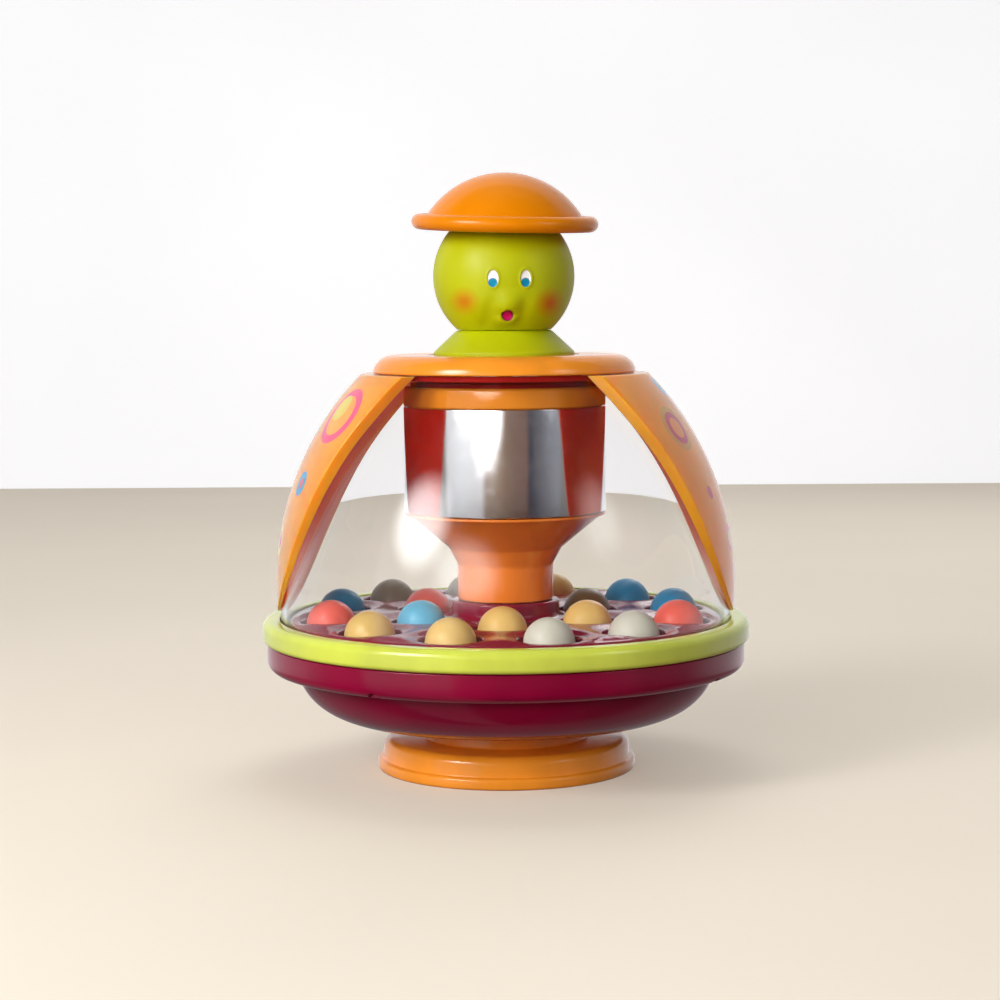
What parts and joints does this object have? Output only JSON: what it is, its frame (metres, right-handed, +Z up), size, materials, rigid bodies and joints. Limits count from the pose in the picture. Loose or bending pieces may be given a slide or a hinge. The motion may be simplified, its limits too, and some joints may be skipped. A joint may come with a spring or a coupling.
{
  "type": "ball popper toy",
  "caption": "Press-and-spin baby toy: a footed bowl with a clear dome, a turning tray of loose balls round a mirrored drum, and a doll's head that is pressed down to spin it.",
  "frame": {"origin": "on the floor under the middle of the foot, which is on the axis of the dome", "axes": "+Z up the axis, -Y towards the face, +X to the viewer's right"},
  "size_m": [0.2, 0.2, 0.2436],
  "materials": {
    "orange": "glossy moulded",
    "hat_orange": "satin moulded",
    "lime": "matte moulded",
    "ring_lime": "glossy moulded",
    "maroon": "glossy moulded",
    "clear": "clear polished",
    "mirror": "metallised film",
    "steel": "plain",
    "nylon": "plain moulded",
    "ball_yellow": "satin moulded",
    "ball_white": "satin moulded",
    "ball_coral": "satin moulded",
    "ball_sky": "satin moulded",
    "ball_blue": "satin moulded",
    "ball_olive": "satin moulded"
  },
  "bodies": {
    "housing": {"base_foot": "orange", "lower_bowl": "maroon", "upper_band": "maroon", "rim_ring": "ring_lime", "clear_dome": "clear", "left_panel": "orange", "right_panel": "orange", "top_cap": "orange", "cap_retainer": "maroon", "axle_tube": "nylon", "thrust_washer": "steel", "axle_cap": "nylon", "return_spring": "steel", "foot_screw_1": "steel", "foot_screw_2": "steel", "foot_screw_3": "steel", "band_screw_1": "steel", "band_screw_2": "steel", "band_screw_3": "steel"},
    "turntable": {"ball_tray": "maroon", "lower_bush": "nylon", "column": "orange", "upper_bush": "nylon", "drum_seat": "orange", "drum_hub": "orange", "mirror_sleeve": "mirror", "drum_cap": "orange", "drum_disc": "maroon", "clutch_housing": "nylon", "clutch_ring": "nylon", "column_screw_1": "steel", "column_screw_2": "steel", "column_screw_3": "steel"},
    "drive_nut": {"drive_nut": "nylon"},
    "plunger": {"neck_cone": "lime", "head": "lime", "push_rod": "orange", "rod_foot": "nylon", "foot_pin": "steel", "head_screw": "steel", "hat": "hat_orange"},
    "ball_01": {"ball_01": "ball_white"},
    "ball_02": {"ball_02": "ball_white"},
    "ball_03": {"ball_03": "ball_coral"},
    "ball_04": {"ball_04": "ball_blue"},
    "ball_05": {"ball_05": "ball_blue"},
    "ball_06": {"ball_06": "ball_white"},
    "ball_07": {"ball_07": "ball_olive"},
    "ball_08": {"ball_08": "ball_white"},
    "ball_09": {"ball_09": "ball_blue"},
    "ball_10": {"ball_10": "ball_coral"},
    "ball_11": {"ball_11": "ball_yellow"},
    "ball_12": {"ball_12": "ball_yellow"},
    "ball_13": {"ball_13": "ball_yellow"},
    "ball_14": {"ball_14": "ball_yellow"},
    "ball_15": {"ball_15": "ball_olive"},
    "ball_16": {"ball_16": "ball_white"},
    "ball_17": {"ball_17": "ball_coral"},
    "ball_18": {"ball_18": "ball_sky"}
  },
  "joints": [
    {"name": "press", "type": "slide", "parent": "housing", "child": "plunger", "axis": [0, 0, -1], "range_m": [0, 0.01], "stiffness_N_per_m": 700, "springref_m": -0.0114, "deforming": ["return_spring"]},
    {"name": "nut_turn", "type": "hinge", "parent": "housing", "child": "drive_nut", "pos_m": [0, 0, 0.145], "axis": [0, 0, 1], "range_deg": [0, 195]},
    {"name": "spin", "type": "hinge", "parent": "housing", "child": "turntable", "pos_m": [0, 0, 0.06], "axis": [0, 0, 1], "continuous": true},
    {"name": "hop_01", "type": "slide", "parent": "turntable", "child": "ball_01", "axis": [0, 0, 1], "range_m": [0, 0.02]},
    {"name": "hop_02", "type": "slide", "parent": "turntable", "child": "ball_02", "axis": [0, 0, 1], "range_m": [0, 0.02]},
    {"name": "hop_03", "type": "slide", "parent": "turntable", "child": "ball_03", "axis": [0, 0, 1], "range_m": [0, 0.02]},
    {"name": "hop_04", "type": "slide", "parent": "turntable", "child": "ball_04", "axis": [0, 0, 1], "range_m": [0, 0.02]},
    {"name": "hop_05", "type": "slide", "parent": "turntable", "child": "ball_05", "axis": [0, 0, 1], "range_m": [0, 0.02]},
    {"name": "hop_06", "type": "slide", "parent": "turntable", "child": "ball_06", "axis": [0, 0, 1], "range_m": [0, 0.02]},
    {"name": "hop_07", "type": "slide", "parent": "turntable", "child": "ball_07", "axis": [0, 0, 1], "range_m": [0, 0.02]},
    {"name": "hop_08", "type": "slide", "parent": "turntable", "child": "ball_08", "axis": [0, 0, 1], "range_m": [0, 0.02]},
    {"name": "hop_09", "type": "slide", "parent": "turntable", "child": "ball_09", "axis": [0, 0, 1], "range_m": [0, 0.02]},
    {"name": "hop_10", "type": "slide", "parent": "turntable", "child": "ball_10", "axis": [0, 0, 1], "range_m": [0, 0.02]},
    {"name": "hop_11", "type": "slide", "parent": "turntable", "child": "ball_11", "axis": [0, 0, 1], "range_m": [0, 0.02]},
    {"name": "hop_12", "type": "slide", "parent": "turntable", "child": "ball_12", "axis": [0, 0, 1], "range_m": [0, 0.02]},
    {"name": "hop_13", "type": "slide", "parent": "turntable", "child": "ball_13", "axis": [0, 0, 1], "range_m": [0, 0.02]},
    {"name": "hop_14", "type": "slide", "parent": "turntable", "child": "ball_14", "axis": [0, 0, 1], "range_m": [0, 0.02]},
    {"name": "hop_15", "type": "slide", "parent": "turntable", "child": "ball_15", "axis": [0, 0, 1], "range_m": [0, 0.02]},
    {"name": "hop_16", "type": "slide", "parent": "turntable", "child": "ball_16", "axis": [0, 0, 1], "range_m": [0, 0.02]},
    {"name": "hop_17", "type": "slide", "parent": "turntable", "child": "ball_17", "axis": [0, 0, 1], "range_m": [0, 0.02]},
    {"name": "hop_18", "type": "slide", "parent": "turntable", "child": "ball_18", "axis": [0, 0, 1], "range_m": [0, 0.02]}
  ],
  "couplings": [
    {"joint": "nut_turn", "follows": "press", "rad_per_m": 314.16}
  ]
}
